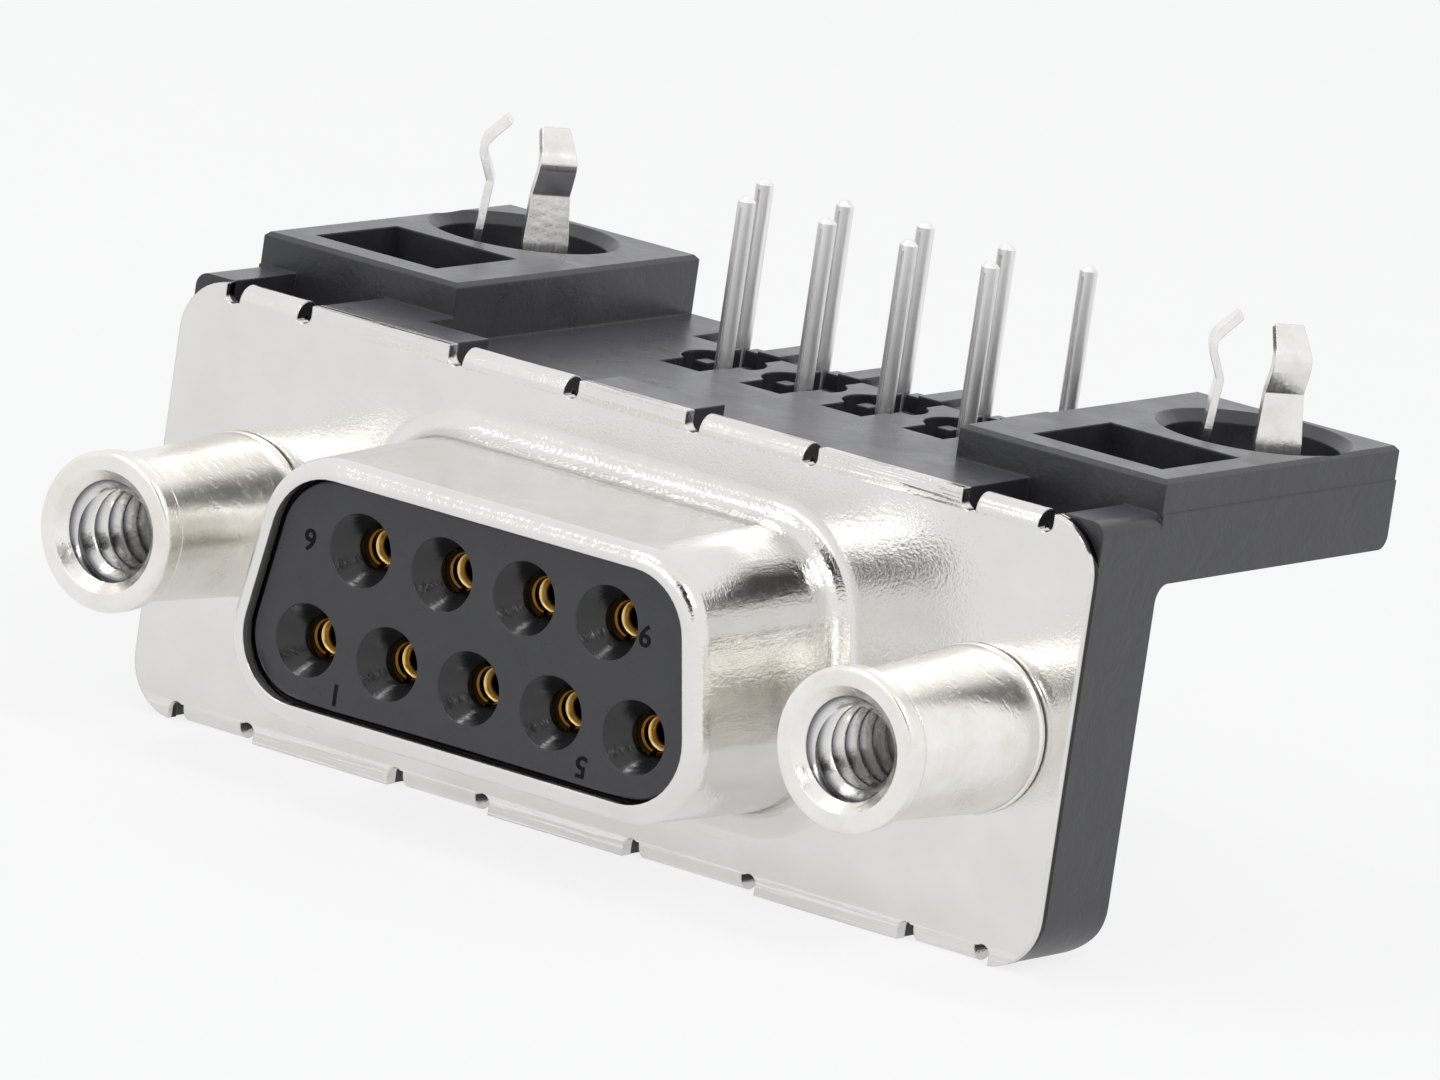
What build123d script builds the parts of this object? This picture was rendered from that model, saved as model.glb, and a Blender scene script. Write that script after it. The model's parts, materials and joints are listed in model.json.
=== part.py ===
from build123d import *
import os
from math import cos, radians, sin, tan

os.makedirs("parts", exist_ok=True)

# A nine way D-sub receptacle for a printed board, lying with its board side and tails up.
# Millimetres. X runs along the flange, Y goes back from the flange's front face, Z is up.

# Sheet metal shell. Its collar grows with the contacts, and its flange with the collar.
sheet = 0.4
collar_side = 2.625
collar_cover = 2.53
screw_land = 4.33
flange_end = 2.91
flange_height = 12.5
flange_corner = 1.6
collar_corner = 2.6
collar_lean = 10
collar_reach = 6.2
collar_draft = 2
rim_turn = 0.55
rim_round = 0.5
base_round = 0.8

# Tabs folded over the edge of the flange, each between two relief cuts
relief_width = 0.5
relief_depth = 0.55
tab_round = 0.5
tab_curl = 150
tab_end = 0.3
outer_tab = 2.5
inner_tab = 3.95
inner_tab_x = 4.025
short_tab = 3.0
short_tab_x = 4.55

# Contacts and their tails
pitch = 2.77
row_gap = 2.84
top_count = 4
bottom_count = 5
sleeve_radius = 0.75
sleeve_bore = 0.47
sleeve_depth = 4.4
sleeve_lead = 0.2
sleeve_throat = 0.06
sleeve_slot = 0.2
slot_length = 3.2
collar_ring_radius = 1.05
tail_width = 0.52
tail_bend = 0.9
tail_tip_break = 0.15
seam_width = 0.09
seam_depth = 0.07
front_row = 10.33
tail_reach = 3.0

# Insulator that fills the collar and carries the contacts
nose_gap = 0.05
nose_break = 0.25
mouth_radius = 1.03
mouth_depth = 0.8
entry_radius = 0.6
entry_depth = 1.0
chamber_gap = 0.1
ring_seat = 0.9
block_side = 1.335
block_rise = 0.9
block_depth = 1.8
block_corner = 1.0
block_gap = 0.05

# Moulded bracket: upright leg, deck over the tails, and two wings that stand on the board
body_inset = 0.055
leg_depth = 3.05
leg_top_corner = 0.4
foot_round = 1.0
inner_round = 0.5
deck_top = 5.5
deck_depth = 1.2
pad_depth = 1.5
tab_pocket_gap = 0.05
tab_pocket_height = 0.75
wing_top = 7.2
wing_inner = 3.965
wing_lap = 0.21
wing_inset = 0.05
body_end = 1.7
wing_round = 0.4
edge_break = 0.12
core_shift = 0.245
core_width = 4.25
core_wall = 1.11
core_web = 1.1
core_depth = 2.2
lock_hole_radius = 2.45
lock_hole_break = 0.3
well_radius = 1.22
well_depth = 0.65
bay_width = 2.04
bay_front = 1.0
post_width = 0.42
post_depth = 0.55
post_drop = 0.15
link_width = 0.34
tail_gap = 0.1

# Screwlock standoffs, riveted through flange, leg and clip
lip_radius = 2.24
lip_depth = 0.55
lip_round = 0.16
barrel_radius = 2.04
foot_radius = 2.32
foot_depth = 0.3
foot_break = 0.1
standoff_reach = 6.2
thread_radius = 1.42
thread_mouth = 0.3
shank_radius = 1.95
shank_gap = 0.05
rivet_radius = 2.4
rivet_depth = 0.35
rivet_break = 0.12

# Boardlock clips, stamped from spring strip
strip = 0.22
strap_width = 3.0
strap_bend = 0.3
clip_foot_radius = 2.6
web_width = 2.1
web_drop = 0.9
ear_turn = 54.7
ear_spread = 1.05
ear_back = -0.5
ear_rise = 0.6
prong_foot = 1.36
prong_kink_width = 1.12
prong_crown_width = 1.1
prong_tip_width = 0.8
prong_lean = 0.2
prong_kink = 1.4
prong_bulge = 0.38
prong_bulge_height = 2.35
prong_tip_in = 0.3
prong_height = 3.1
prong_kink_round = 0.3
prong_crown_round = 0.45

# Sizes and places worked out from those above
collar_width = (bottom_count - 1) * pitch + 2 * collar_side
collar_height = row_gap + 2 * collar_cover
screw_spacing = collar_width + 2 * screw_land
screw_x = screw_spacing / 2
flange_width = screw_spacing + 2 * flange_end
half_flange = flange_height / 2
top_tabs = [(-screw_x, outer_tab), (-inner_tab_x, inner_tab), (inner_tab_x, inner_tab), (screw_x, outer_tab)]
bottom_tabs = [(-screw_x, outer_tab), (-short_tab_x, short_tab), (inner_tab_x, inner_tab), (screw_x, outer_tab)]
block_width = collar_width + 2 * block_side
block_height = collar_height + 2 * block_rise
rim_back = collar_reach - sheet
rim_inset = collar_reach * tan(radians(collar_draft)) + rim_turn
leg_back = sheet + leg_depth
block_back = sheet + block_depth
back_row = front_row + row_gap
lock_y = (front_row + back_row) / 2
body_width = flange_width - 2 * body_inset
body_back = back_row + body_end
bay_length = body_end + bay_front
deck_under = deck_top - deck_depth
pad_back = sheet + pad_depth
wing_gap = screw_spacing - 2 * wing_inner
wing_width = (body_width - wing_gap) / 2
wing_x = (body_width + wing_gap) / 4
wing_front = leg_back - wing_lap
core_x = screw_x - core_shift
core_front = wing_front + core_wall
core_length = lock_y - lock_hole_radius - core_web - core_front
web_top = wing_top - web_drop
ear_bottom = deck_under + ear_rise
sleeve_front = entry_depth - rim_back
ring_front = block_back - ring_seat
tip_z = wing_top + tail_reach
tail_radius = tail_width / 2
near = 0.001


def d_outline(inset):
    """The collar's D, wide side down, moved inward by inset all round."""
    width = collar_width - 2 * inset
    height = collar_height - 2 * inset
    corner = collar_corner - inset
    sharp = width + 2 * corner * (1 / tan(radians((90 - collar_lean) / 2)) - 1)
    Trapezoid(sharp, height, 90 - collar_lean)
    fillet(vertices(), corner)


def behind(distance):
    """Upright plane at a distance behind the flange's front face, looking forward."""
    return Plane.XZ.offset(-distance)


def at(shapes, axis, place):
    """Those of the edges or faces whose middle lies at a place along an axis."""
    return shapes.filter_by_position(axis, place - near, place + near)


# Contact places: four in the top row, five in the bottom row
contact_sites = []
for i in range(bottom_count):
    contact_sites.append(((i - (bottom_count - 1) / 2) * pitch, -row_gap / 2, back_row))
for i in range(top_count):
    contact_sites.append(((i - (top_count - 1) / 2) * pitch, row_gap / 2, front_row))

# Front shell: flange and collar drawn from one sheet
with BuildPart() as front_shell:
    with BuildSketch(Plane.XZ):
        RectangleRounded(flange_width, flange_height, flange_corner)
    extrude(amount=-sheet)
    with BuildSketch(Plane.XZ):
        d_outline(0)
    extrude(amount=collar_reach, taper=collar_draft)
    fillet(front_shell.faces().sort_by(Axis.Y)[0].edges(), rim_round)
    flange_front = at(front_shell.edges(), Axis.Y, 0)
    collar_foot = flange_front.filter_by(lambda e: abs(e.center().Z) < collar_height / 2 + base_round / 2)
    collar_foot = collar_foot.filter_by(lambda e: abs(e.center().X) < collar_width / 2 + base_round)
    fillet(collar_foot, base_round)
    with BuildSketch(Plane.XZ):
        d_outline(sheet)
    extrude(amount=rim_back, taper=collar_draft, mode=Mode.SUBTRACT)
    fillet(at(front_shell.edges(), Axis.Y, -rim_back), rim_round - sheet)
    with BuildSketch(Plane.XZ):
        d_outline(sheet)
    extrude(amount=-sheet, mode=Mode.SUBTRACT)
    back_edges = at(front_shell.edges(), Axis.Y, sheet)
    mouth_edges = back_edges.filter_by(lambda e: abs(e.center().Z) < collar_height / 2 + base_round / 2)
    mouth_edges = mouth_edges.filter_by(lambda e: abs(e.center().X) < collar_width / 2 + base_round)
    fillet(mouth_edges, base_round + sheet)
    with BuildSketch(behind(0)):
        d_outline(rim_inset)
    extrude(amount=collar_reach, mode=Mode.SUBTRACT)
    with BuildSketch(behind(sheet)):
        with Locations((-screw_x, 0), (screw_x, 0)):
            Circle(shank_radius + shank_gap)
        for level, tabs in ((1, top_tabs), (-1, bottom_tabs)):
            for middle, width in tabs:
                with Locations((middle, level * half_flange)):
                    Rectangle(width, 2 * tab_round)
                ends = (middle - width / 2, middle + width / 2)
                with Locations(*[(x, level * half_flange + level * relief_width / 2) for x in ends]):
                    SlotOverall(2 * relief_depth + relief_width, relief_width, rotation=90)
    extrude(amount=sheet, mode=Mode.SUBTRACT)
    for level, tabs in ((1, top_tabs), (-1, bottom_tabs)):
        for middle, width in tabs:
            centre_z = half_flange - tab_round
            stop = radians(180 - tab_curl)
            inner_round_radius = tab_round - sheet
            outer_stop = (tab_round + tab_round * cos(stop), centre_z + tab_round * sin(stop))
            inner_stop = (tab_round + inner_round_radius * cos(stop), centre_z + inner_round_radius * sin(stop))
            step = (tab_end * sin(stop), -tab_end * cos(stop))
            with BuildSketch(Plane.YZ.offset(middle)):
                with BuildLine():
                    CenterArc((tab_round, centre_z), tab_round, 180, -tab_curl)
                    Polyline(
                        outer_stop,
                        (outer_stop[0] + step[0], outer_stop[1] + step[1]),
                        (inner_stop[0] + step[0], inner_stop[1] + step[1]),
                        inner_stop,
                    )
                    CenterArc((tab_round, centre_z), inner_round_radius, 180, -tab_curl)
                    Line((0, centre_z), (sheet, centre_z))
                make_face()
                if level < 0:
                    mirror(about=Plane.XZ, mode=Mode.REPLACE)
            extrude(amount=(width - relief_width) / 2, both=True)
front_shell.part.label = "front_shell"
export_step(front_shell.part, "parts/front_shell.step")

# Front insulator: D nose, block behind the flange, and a stepped hole for each contact
with BuildPart() as front_insulator:
    with BuildSketch(Plane.XZ):
        d_outline(sheet + nose_gap)
    extrude(amount=rim_back, taper=collar_draft)
    chamfer(front_insulator.faces().sort_by(Axis.Y)[0].edges(), nose_break)
    with BuildSketch(Plane.XZ):
        d_outline(sheet + nose_gap)
    extrude(amount=-sheet)
    with BuildSketch(behind(sheet)):
        RectangleRounded(block_width, block_height, block_corner)
    extrude(amount=-block_depth)
    for x, z, row in contact_sites:
        place = Plane((x, 0, z), x_dir=(1, 0, 0), z_dir=(0, 0, 1))
        with BuildSketch(place):
            with BuildLine():
                Polyline(
                    (0, -rim_back),
                    (mouth_radius, -rim_back),
                    (entry_radius, mouth_depth - rim_back),
                    (entry_radius, sleeve_front),
                    (sleeve_radius + chamber_gap, sleeve_front),
                    (sleeve_radius + chamber_gap, ring_front),
                    (collar_ring_radius + chamber_gap, ring_front),
                    (collar_ring_radius + chamber_gap, block_back),
                    (0, block_back),
                    close=True,
                )
            make_face()
        revolve(axis=Axis((x, 0, z), (0, 1, 0)), mode=Mode.SUBTRACT)
front_insulator.part.label = "front_insulator"
export_step(front_insulator.part, "parts/front_insulator.step")

# Nine contacts: slotted sleeve in front, retaining ring, and a round tail bent up to the board
for number, (x, z, row) in enumerate(contact_sites, start=1):
    place = Plane((x, 0, z), x_dir=(1, 0, 0), z_dir=(0, 0, 1))
    with BuildPart() as contact:
        with BuildSketch(place):
            with BuildLine():
                Polyline(
                    (0, sleeve_front + sleeve_depth),
                    (sleeve_bore, sleeve_front + sleeve_depth),
                    (sleeve_bore, sleeve_front + sleeve_lead),
                    (sleeve_bore + sleeve_throat, sleeve_front + sleeve_throat),
                    (sleeve_bore + sleeve_lead, sleeve_front),
                    (sleeve_radius, sleeve_front),
                    (sleeve_radius, ring_front),
                    (collar_ring_radius, ring_front),
                    (collar_ring_radius, block_back),
                    (0, block_back),
                    close=True,
                )
            make_face()
        revolve(axis=Axis((x, 0, z), (0, 1, 0)))
        with Locations((x, sleeve_front, z)):
            Box(sleeve_slot, 2 * slot_length, 4 * sleeve_radius, mode=Mode.SUBTRACT)
        with BuildLine():
            FilletPolyline((x, block_back, z), (x, row, z), (x, row, tip_z), radius=tail_bend)
        with BuildSketch(Plane((x, block_back, z), x_dir=(1, 0, 0), z_dir=(0, 1, 0))):
            Circle(tail_radius)
        sweep()
        chamfer(contact.faces().sort_by(Axis.Z)[-1].edges(), tail_tip_break)
        # Seam where the strip is rolled into a round tail
        with BuildSketch(Plane.XY.offset(deck_under)):
            with Locations((x, row - tail_radius)):
                Rectangle(seam_width, 2 * seam_depth)
        extrude(amount=tip_z - 2 * tail_tip_break - deck_under, mode=Mode.SUBTRACT)
    name = f"contact_{number}"
    contact.part.label = name
    export_step(contact.part, f"parts/{name}.step")

# Bracket housing: one moulding with leg, deck, pads, wings and wells for the tails
with BuildPart() as bracket_housing:
    with BuildSketch(behind(sheet)):
        Rectangle(body_width, flange_height)
        fillet(vertices().group_by(Axis.Y)[0], flange_corner)
        fillet(vertices().group_by(Axis.Y)[-1], leg_top_corner)
    extrude(amount=-leg_depth)
    with BuildSketch(Plane.YZ):
        with Locations((sheet + leg_depth / 2, 0)):
            Rectangle(leg_depth, flange_height)
        heel = vertices().group_by(Axis.Y)[0].sort_by(Axis.X)[-1]
        fillet(heel, foot_round)
    extrude(amount=body_width, both=True, mode=Mode.INTERSECT)
    with BuildSketch(Plane.XY.offset(deck_under)):
        with Locations((0, (wing_front + body_back) / 2)):
            Rectangle(body_width, body_back - wing_front)
    extrude(amount=deck_depth)
    with BuildSketch(Plane.XY.offset(deck_under)):
        with Locations((-wing_x, (wing_front + body_back) / 2), (wing_x, (wing_front + body_back) / 2)):
            Rectangle(wing_width, body_back - wing_front)
    extrude(amount=half_flange - deck_under)
    # Above the mould's parting line each wing stands in a little from its outer side
    with BuildSketch(Plane.XY.offset(half_flange)):
        with Locations(*[(side * (wing_x - wing_inset / 2), (wing_front + body_back) / 2) for side in (-1, 1)]):
            Rectangle(wing_width - wing_inset, body_back - wing_front)
    extrude(amount=wing_top - half_flange)
    # Space behind the pads, down to the deck
    with BuildSketch(Plane.XY.offset(deck_top)):
        with Locations((0, (pad_back + leg_back) / 2)):
            Rectangle(wing_gap, leg_back - pad_back)
    extrude(amount=half_flange - deck_top, mode=Mode.SUBTRACT)
    # Room for the folded tabs
    for level, tabs in ((1, top_tabs), (-1, bottom_tabs)):
        for middle, width in tabs:
            beside_wing = level > 0 and abs(middle) > wing_gap / 2
            pocket_back = wing_front if beside_wing else pad_back
            with BuildSketch(Plane.XY.offset(level * (half_flange - tab_pocket_height))):
                with Locations((middle, (sheet + pocket_back) / 2)):
                    Rectangle(width + relief_width + 2 * tab_pocket_gap, pocket_back - sheet)
            extrude(amount=level * tab_pocket_height, mode=Mode.SUBTRACT)
    under_edges = at(bracket_housing.edges().filter_by(Axis.X), Axis.Z, deck_under)
    fillet(at(under_edges, Axis.Y, leg_back), inner_round)
    fillet(at(under_edges, Axis.Y, body_back), wing_round)
    chamfer(at(bracket_housing.faces().filter_by(Axis.Z), Axis.Z, wing_top).edges(), edge_break)
    # Square cores and round boardlock holes in the wings
    with BuildSketch(Plane.XY.offset(wing_top)):
        with Locations(*[(side * core_x, core_front + core_length / 2) for side in (-1, 1)]):
            Rectangle(core_width, core_length)
    extrude(amount=-core_depth, mode=Mode.SUBTRACT)
    with Locations(*[(side * screw_x, lock_y, wing_top) for side in (-1, 1)]):
        CounterSinkHole(lock_hole_radius, lock_hole_radius + lock_hole_break, wing_top - deck_under, 90)
    # Screw holes through the leg
    with BuildSketch(behind(sheet)):
        with Locations((-screw_x, 0), (screw_x, 0)):
            Circle(shank_radius + shank_gap)
    extrude(amount=-leg_depth, mode=Mode.SUBTRACT)
    # Seat for the insulator's block, and holes for the tails behind it
    with BuildSketch(behind(sheet)):
        RectangleRounded(block_width + 2 * block_gap, block_height + 2 * block_gap, block_corner + block_gap)
    extrude(amount=-block_depth, mode=Mode.SUBTRACT)
    with BuildSketch(behind(block_back)):
        with Locations(*[(x, z) for x, z, row in contact_sites]):
            Circle(tail_radius + tail_gap)
    extrude(amount=block_back - leg_back, mode=Mode.SUBTRACT)
    # A round well at each tail of the front row, and a bay open to the rear at each of the back row
    with BuildSketch(Plane.XY.offset(deck_top)):
        for x, z, row in contact_sites:
            if row == back_row:
                with Locations((x, body_back - bay_length / 2)):
                    Rectangle(bay_width, bay_length)
            else:
                with Locations((x, row)):
                    Circle(well_radius)
                    Rectangle(pitch - bay_width + 2 * link_width, 2 * (body_back - bay_length - row + link_width))
    extrude(amount=-well_depth, mode=Mode.SUBTRACT)
    # Posts beside each tail, and the hole that it passes through
    with BuildSketch(Plane.XY.offset(deck_top - well_depth)):
        for x, z, row in contact_sites:
            with Locations(*[(x + side * (tail_radius + tail_gap + post_width / 2), row) for side in (-1, 1)]):
                Rectangle(post_width, post_depth)
    extrude(amount=well_depth - post_drop)
    with BuildSketch(Plane.XY.offset(deck_top)):
        with Locations(*[(x, row) for x, z, row in contact_sites]):
            Circle(tail_radius + tail_gap)
    extrude(amount=-deck_depth, mode=Mode.SUBTRACT)
bracket_housing.part.label = "bracket_housing"
export_step(bracket_housing.part, "parts/bracket_housing.step")

# Standoffs: a threaded barrel with a front lip, a foot on the flange and a rivet behind the clip
for side, word in ((-1, "left"), (1, "right")):
    x = side * screw_x
    rivet_front = leg_back + strip
    with BuildPart() as standoff:
        with BuildSketch(Plane((x, 0, 0), x_dir=(1, 0, 0), z_dir=(0, 0, 1))):
            with BuildLine():
                Polyline(
                    (thread_radius, thread_mouth - standoff_reach),
                    (thread_radius + thread_mouth, -standoff_reach),
                    (lip_radius, -standoff_reach),
                    (lip_radius, lip_depth - standoff_reach),
                    (barrel_radius, lip_depth + lip_radius - barrel_radius - standoff_reach),
                    (barrel_radius, -foot_depth),
                    (foot_radius - foot_break, -foot_depth),
                    (foot_radius, foot_break - foot_depth),
                    (foot_radius, -foot_break),
                    (foot_radius - foot_break, 0),
                    (shank_radius, 0),
                    (shank_radius, rivet_front),
                    (rivet_radius, rivet_front),
                    (rivet_radius, rivet_front + rivet_depth),
                    (thread_radius, rivet_front + rivet_depth),
                    close=True,
                )
            make_face()
        revolve(axis=Axis((x, 0, 0), (0, 1, 0)))
        front_ring = standoff.faces().sort_by(Axis.Y)[0].outer_wire().edges()
        fillet(front_ring, lip_round)
        rivet_ring = standoff.faces().sort_by(Axis.Y)[-1].outer_wire().edges()
        chamfer(rivet_ring, rivet_break)
    name = f"standoff_{word}"
    standoff.part.label = name
    export_step(standoff.part, f"parts/{name}.step")

# Boardlock clips: foot under the rivet, strap below the wing, and two sprung prongs through its hole
for side, word in ((-1, "left"), (1, "right")):
    x = side * screw_x
    ear_y = lock_y + ear_back
    web_front = ear_y - sin(radians(ear_turn)) * prong_foot / 2 - strip
    prongs = []
    for hand in (-1, 1):
        out = (hand * sin(radians(ear_turn)), -cos(radians(ear_turn)), 0)
        across = (cos(radians(ear_turn)), hand * sin(radians(ear_turn)), 0)
        centre = (x + hand * ear_spread, ear_y, 0)
        with BuildPart() as prong:
            with BuildSketch(Plane(centre, x_dir=out, z_dir=(out[1], -out[0], 0))):
                with BuildLine():
                    FilletPolyline(
                        (prong_lean - strip / 2, ear_bottom),
                        (prong_lean - strip / 2, web_top),
                        (-strip / 2, wing_top + prong_kink),
                        (prong_bulge - strip / 2, wing_top + prong_bulge_height),
                        (-prong_tip_in - strip / 2, wing_top + prong_height),
                        radius=[prong_kink_round, prong_kink_round, prong_crown_round],
                    )
                    offset(amount=strip, side=Side.RIGHT)
                make_face()
            extrude(amount=prong_foot / 2, both=True)
            with BuildSketch(Plane(centre, x_dir=across, z_dir=out)):
                with BuildLine():
                    Polyline(
                        (-prong_foot / 2, ear_bottom - strip),
                        (prong_foot / 2, ear_bottom - strip),
                        (prong_foot / 2, wing_top),
                        (prong_kink_width / 2, wing_top + prong_kink),
                        (prong_crown_width / 2, wing_top + prong_bulge_height),
                        (prong_tip_width / 2, wing_top + prong_height + strip),
                        (-prong_tip_width / 2, wing_top + prong_height + strip),
                        (-prong_crown_width / 2, wing_top + prong_bulge_height),
                        (-prong_kink_width / 2, wing_top + prong_kink),
                        (-prong_foot / 2, wing_top),
                        close=True,
                    )
                make_face()
            extrude(amount=2 * prong_bulge + 2 * strip, both=True, mode=Mode.INTERSECT)
        prongs.append(prong.part)
    with BuildPart() as boardlock:
        with BuildSketch(Plane.YZ.offset(x)):
            with BuildLine():
                FilletPolyline(
                    (leg_back, 0),
                    (leg_back, deck_under),
                    (web_front, deck_under),
                    (web_front, web_top),
                    radius=[strap_bend + strip, strap_bend],
                )
                offset(amount=strip, side=Side.RIGHT)
            make_face()
        extrude(amount=strap_width / 2, both=True)
        with BuildSketch(behind(leg_back)):
            with Locations((x, 0)):
                Circle(clip_foot_radius)
        extrude(amount=-strip)
        with BuildSketch(behind(leg_back)):
            with Locations((x, 0)):
                Circle(shank_radius + shank_gap)
        extrude(amount=-strip, mode=Mode.SUBTRACT)
        # The web narrows where it rises into the hole
        with BuildSketch(behind(web_front - strap_bend)):
            for hand in (-1, 1):
                with Locations((x + hand * (web_width + strap_width) / 4, web_top)):
                    Rectangle((strap_width - web_width) / 2, 2 * (web_top - deck_under))
        extrude(amount=-strip - 2 * strap_bend, mode=Mode.SUBTRACT)
        for piece in prongs:
            add(piece)
    name = f"boardlock_{word}"
    boardlock.part.label = name
    export_step(boardlock.part, f"parts/{name}.step")
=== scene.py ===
import json
import math

import bpy
from mathutils import Matrix, Vector


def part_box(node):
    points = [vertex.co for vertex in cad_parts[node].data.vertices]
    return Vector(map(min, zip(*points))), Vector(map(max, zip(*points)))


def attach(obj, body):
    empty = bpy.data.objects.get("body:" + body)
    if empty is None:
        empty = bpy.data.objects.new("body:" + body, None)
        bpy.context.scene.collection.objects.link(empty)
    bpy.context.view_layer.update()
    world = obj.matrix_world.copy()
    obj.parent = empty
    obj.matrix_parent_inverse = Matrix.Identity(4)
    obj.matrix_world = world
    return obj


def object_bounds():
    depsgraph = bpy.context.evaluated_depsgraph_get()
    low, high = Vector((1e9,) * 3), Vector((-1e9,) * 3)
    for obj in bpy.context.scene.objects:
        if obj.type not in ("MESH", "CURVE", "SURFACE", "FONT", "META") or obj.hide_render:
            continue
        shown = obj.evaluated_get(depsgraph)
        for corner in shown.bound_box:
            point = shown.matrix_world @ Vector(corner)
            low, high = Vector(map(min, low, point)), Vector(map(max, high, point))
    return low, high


# Dresses a nine way D-sub receptacle for a printed board: tinned shell, black mouldings,
# gold and tin contacts, nickel plated standoffs and sprung board locks.
# Lengths are written in millimetres and turned to metres by MM.
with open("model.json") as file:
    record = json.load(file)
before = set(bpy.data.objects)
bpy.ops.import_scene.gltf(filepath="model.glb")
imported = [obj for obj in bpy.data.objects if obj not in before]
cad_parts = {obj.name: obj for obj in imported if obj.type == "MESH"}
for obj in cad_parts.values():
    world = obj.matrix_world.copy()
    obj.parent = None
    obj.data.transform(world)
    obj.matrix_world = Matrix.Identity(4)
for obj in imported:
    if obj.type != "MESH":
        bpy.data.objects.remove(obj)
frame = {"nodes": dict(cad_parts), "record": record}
cad_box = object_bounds()
nodes = frame["nodes"]
mounts = {mount["name"]: mount for mount in frame["record"]["mounts"]}
MM = 0.001

# Camera that took the photograph, found from the known pitch of the contacts
CAMERA_PLACE = (208.724, -306.621, 78.783)
CAMERA_RIGHT = (0.806207, 0.574515, 0.141286)
CAMERA_UP = (-0.230546, 0.085141, 0.969330)
CAMERA_BACK = (0.544865, -0.814054, 0.201093)
LENS = 347.87
SENSOR = 36.0

# How far out the sheared side edges of the flange start, past the outer tabs
SIDE_EDGE = 13.8

# Places along Y where a finish changes: the insulator's face, the front of the contacts' sleeves,
# and the place behind the insulator where their tin plating begins
INSULATOR_FACE = -5.77
SLEEVE_FRONT = -4.7
TAIL_START = 2.2

# Number 4-40 thread in the standoffs
THREADS_PER_INCH = 40
THREAD_DEPTH = 0.29
CREST_WIDTH = 0.14
ROOT_WIDTH = 0.54
MOUTH_CHAMFER = 0.3
WALL_OVERLAP = 0.01
MOUTH_OVERLAP = 0.02
STEPS_PER_TURN = 56
LEAD_TURNS = 0.5
FADE_TURNS = 0.35

# Slight cone of a standoff's barrel, from the lip's neck to the foot, as (radius, y)
BARREL_PROFILE = [(2.05, -5.3), (2.06, -5.0), (2.12, -3.5), (2.2, -1.9), (2.26, -0.8), (2.29, -0.34),
                  (2.27, -0.28), (1.98, -0.28), (1.98, -5.3)]
BARREL_STEPS = 96

# Section of the pinched tongues inside a contact, as (radius, y)
TONGUE_PROFILE = [(0.49, -4.45), (0.45, -4.44), (0.39, -4.39), (0.34, -4.32), (0.32, -4.22),
                  (0.35, -3.95), (0.49, -3.8)]
TONGUE_STEPS = 40

# Height of the contacts' rows above and below the middle, and how many ways the lower row has
ROW_HEIGHT = 1.42
LOWER_WAYS = 5

# Way numbers on the insulator: the contact each stands by, and how far to the right of it and
# above it the number's middle lies
NUMBERS = {1: (1.22, -1.2), 5: (-1.55, -1.16), 6: (-1.7, -0.05), 9: (1.3, -0.02)}
NUMBER_SIZE = 0.84
NUMBER_RELIEF = 0.012
STROKE_WIDENING = 0.014
STROKE_STEPS = 4

# Rays at each point that look for an edge to soften
EDGE_SAMPLES = 4

# How white the table is to the camera and to the shiny surfaces, how white the surroundings are to
# the shiny surfaces, and how bright they are as a light
TABLE_SEEN = 0.82
TABLE_MIRRORED = 0.62
STUDIO_MIRRORED = 0.88
STUDIO_LIGHT = 0.62
TABLE_HALF_SIZE = 1500


def linear(hex_colour):
    """An sRGB hex colour as the linear RGBA that a shader socket takes."""
    value = hex_colour.lstrip("#")
    channels = [int(value[i:i + 2], 16) / 255 for i in (0, 2, 4)]
    return [c / 12.92 if c <= 0.04045 else ((c + 0.055) / 1.055) ** 2.4 for c in channels] + [1.0]


def per_metre(size):
    """Texture scale that repeats about once in a size given in millimetres."""
    return 1 / (size * MM)


def add_node(tree, kind, settings=None, links=None):
    """Adds a node, gives it its settings and ramp stops, and sets or links its inputs."""
    node = tree.nodes.new(kind)
    for name, value in (settings or {}).items():
        if name == "stops":
            elements = node.color_ramp.elements
            for element, (place, colour) in zip((elements[0], elements[1]), (value[0], value[-1])):
                element.position = place
                element.color = colour
            for place, colour in value[1:-1]:
                elements.new(place).color = colour
        else:
            setattr(node, name, value)
    for name, value in (links or {}).items():
        socket = node.inputs[name]
        if isinstance(value, bpy.types.NodeSocket):
            tree.links.new(value, socket)
        else:
            socket.default_value = value
    return node


def blank_material(name):
    """A material with an empty node tree, to be filled by its own function."""
    material = bpy.data.materials.new(name)
    material.use_nodes = True
    material.node_tree.nodes.clear()
    return material, material.node_tree


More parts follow.
